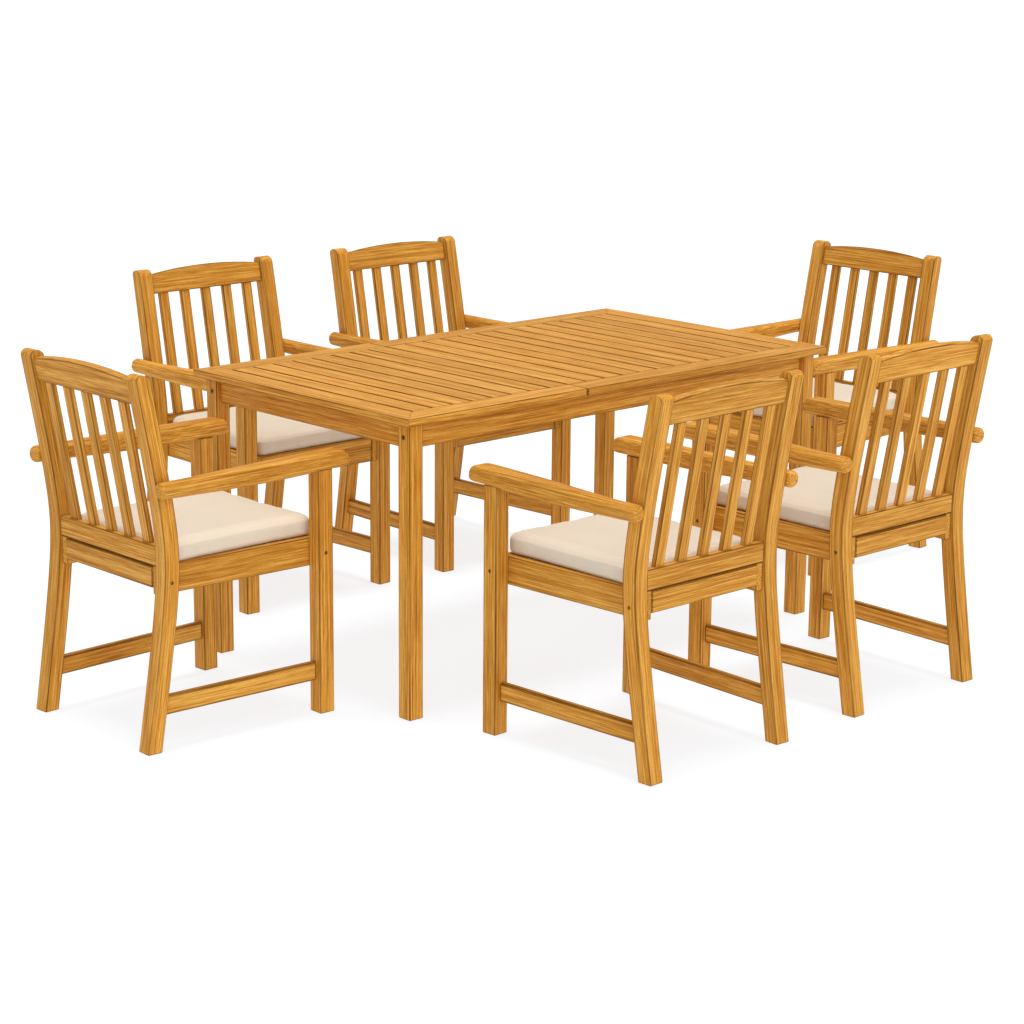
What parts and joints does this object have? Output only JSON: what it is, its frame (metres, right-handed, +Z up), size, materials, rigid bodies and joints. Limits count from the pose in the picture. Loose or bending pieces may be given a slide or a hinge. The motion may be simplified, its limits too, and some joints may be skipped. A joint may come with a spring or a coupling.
{
  "type": "patio dining set",
  "caption": "Slatted timber patio dining table with a railed border, and matching armchairs with slatted backs and loose seat cushions.",
  "frame": {"origin": "on the floor, under the middle of the whole layout", "axes": "+X along the table's length, from its left end to its right end; +Y across the table, from the near long side to the far one; +Z up"},
  "size_m": [2.926, 2.26, 0.893],
  "materials": {
    "timber": "oiled acacia, satin, with fine lengthwise grain",
    "cushion_cloth": "cream plain-woven polyester",
    "bolt_steel": "yellow zinc plated steel"
  },
  "bodies": {
    "table": {"table_left_top_frame": "timber", "table_left_top_slats": "timber", "table_left_apron": "timber", "table_right_top_frame": "timber", "table_right_top_slats": "timber", "table_right_apron": "timber", "table_near_left_leg": "timber", "table_near_left_bolt": "bolt_steel", "table_near_right_leg": "timber", "table_near_right_bolt": "bolt_steel", "table_far_left_leg": "timber", "table_far_left_bolt": "bolt_steel", "table_far_right_leg": "timber", "table_far_right_bolt": "bolt_steel", "table_near_apron": "timber", "table_far_apron": "timber", "table_seam_bearer": "timber", "table_right_bearer": "timber"},
    "left_end_chair": {"left_end_chair_left_side_frame": "timber", "left_end_chair_right_side_frame": "timber", "left_end_chair_seat_frame": "timber", "left_end_chair_back_panel": "timber", "left_end_chair_left_arm": "timber", "left_end_chair_right_arm": "timber"},
    "left_end_chair_seat_pad": {"left_end_chair_cushion": "cushion_cloth"},
    "near_left_chair": {"near_left_chair_left_side_frame": "timber", "near_left_chair_right_side_frame": "timber", "near_left_chair_seat_frame": "timber", "near_left_chair_back_panel": "timber", "near_left_chair_left_arm": "timber", "near_left_chair_right_arm": "timber"},
    "near_left_chair_seat_pad": {"near_left_chair_cushion": "cushion_cloth"},
    "near_right_chair": {"near_right_chair_left_side_frame": "timber", "near_right_chair_right_side_frame": "timber", "near_right_chair_seat_frame": "timber", "near_right_chair_back_panel": "timber", "near_right_chair_left_arm": "timber", "near_right_chair_right_arm": "timber"},
    "near_right_chair_seat_pad": {"near_right_chair_cushion": "cushion_cloth"},
    "far_left_chair": {"far_left_chair_left_side_frame": "timber", "far_left_chair_right_side_frame": "timber", "far_left_chair_seat_frame": "timber", "far_left_chair_back_panel": "timber", "far_left_chair_left_arm": "timber", "far_left_chair_right_arm": "timber"},
    "far_left_chair_seat_pad": {"far_left_chair_cushion": "cushion_cloth"},
    "far_right_chair": {"far_right_chair_left_side_frame": "timber", "far_right_chair_right_side_frame": "timber", "far_right_chair_seat_frame": "timber", "far_right_chair_back_panel": "timber", "far_right_chair_left_arm": "timber", "far_right_chair_right_arm": "timber"},
    "far_right_chair_seat_pad": {"far_right_chair_cushion": "cushion_cloth"},
    "right_end_chair": {"right_end_chair_left_side_frame": "timber", "right_end_chair_right_side_frame": "timber", "right_end_chair_seat_frame": "timber", "right_end_chair_back_panel": "timber", "right_end_chair_left_arm": "timber", "right_end_chair_right_arm": "timber"},
    "right_end_chair_seat_pad": {"right_end_chair_cushion": "cushion_cloth"}
  },
  "joints": [
    {"name": "left_end_chair_pull_out", "type": "slide", "parent": "table", "child": "left_end_chair", "axis": [-1, 0, 0], "range_m": [-0.25, 0.3]},
    {"name": "left_end_chair_cushion_lift", "type": "slide", "parent": "left_end_chair", "child": "left_end_chair_seat_pad", "axis": [0, 0, 1], "range_m": [0, 0.4]},
    {"name": "near_left_chair_pull_out", "type": "slide", "parent": "table", "child": "near_left_chair", "axis": [0, -1, 0], "range_m": [-0.26, 0.3]},
    {"name": "near_left_chair_cushion_lift", "type": "slide", "parent": "near_left_chair", "child": "near_left_chair_seat_pad", "axis": [0, 0, 1], "range_m": [0, 0.4]},
    {"name": "near_right_chair_pull_out", "type": "slide", "parent": "table", "child": "near_right_chair", "axis": [0, -1, 0], "range_m": [-0.26, 0.3]},
    {"name": "near_right_chair_cushion_lift", "type": "slide", "parent": "near_right_chair", "child": "near_right_chair_seat_pad", "axis": [0, 0, 1], "range_m": [0, 0.4]},
    {"name": "far_left_chair_pull_out", "type": "slide", "parent": "table", "child": "far_left_chair", "axis": [0, 1, 0], "range_m": [-0.25, 0.3]},
    {"name": "far_left_chair_cushion_lift", "type": "slide", "parent": "far_left_chair", "child": "far_left_chair_seat_pad", "axis": [0, 0, 1], "range_m": [0, 0.4]},
    {"name": "far_right_chair_pull_out", "type": "slide", "parent": "table", "child": "far_right_chair", "axis": [0, 1, 0], "range_m": [-0.12, 0.3]},
    {"name": "far_right_chair_cushion_lift", "type": "slide", "parent": "far_right_chair", "child": "far_right_chair_seat_pad", "axis": [0, 0, 1], "range_m": [0, 0.4]},
    {"name": "right_end_chair_pull_out", "type": "slide", "parent": "table", "child": "right_end_chair", "axis": [1, 0, 0], "range_m": [-0.4, 0.3]},
    {"name": "right_end_chair_cushion_lift", "type": "slide", "parent": "right_end_chair", "child": "right_end_chair_seat_pad", "axis": [0, 0, 1], "range_m": [0, 0.4]}
  ]
}
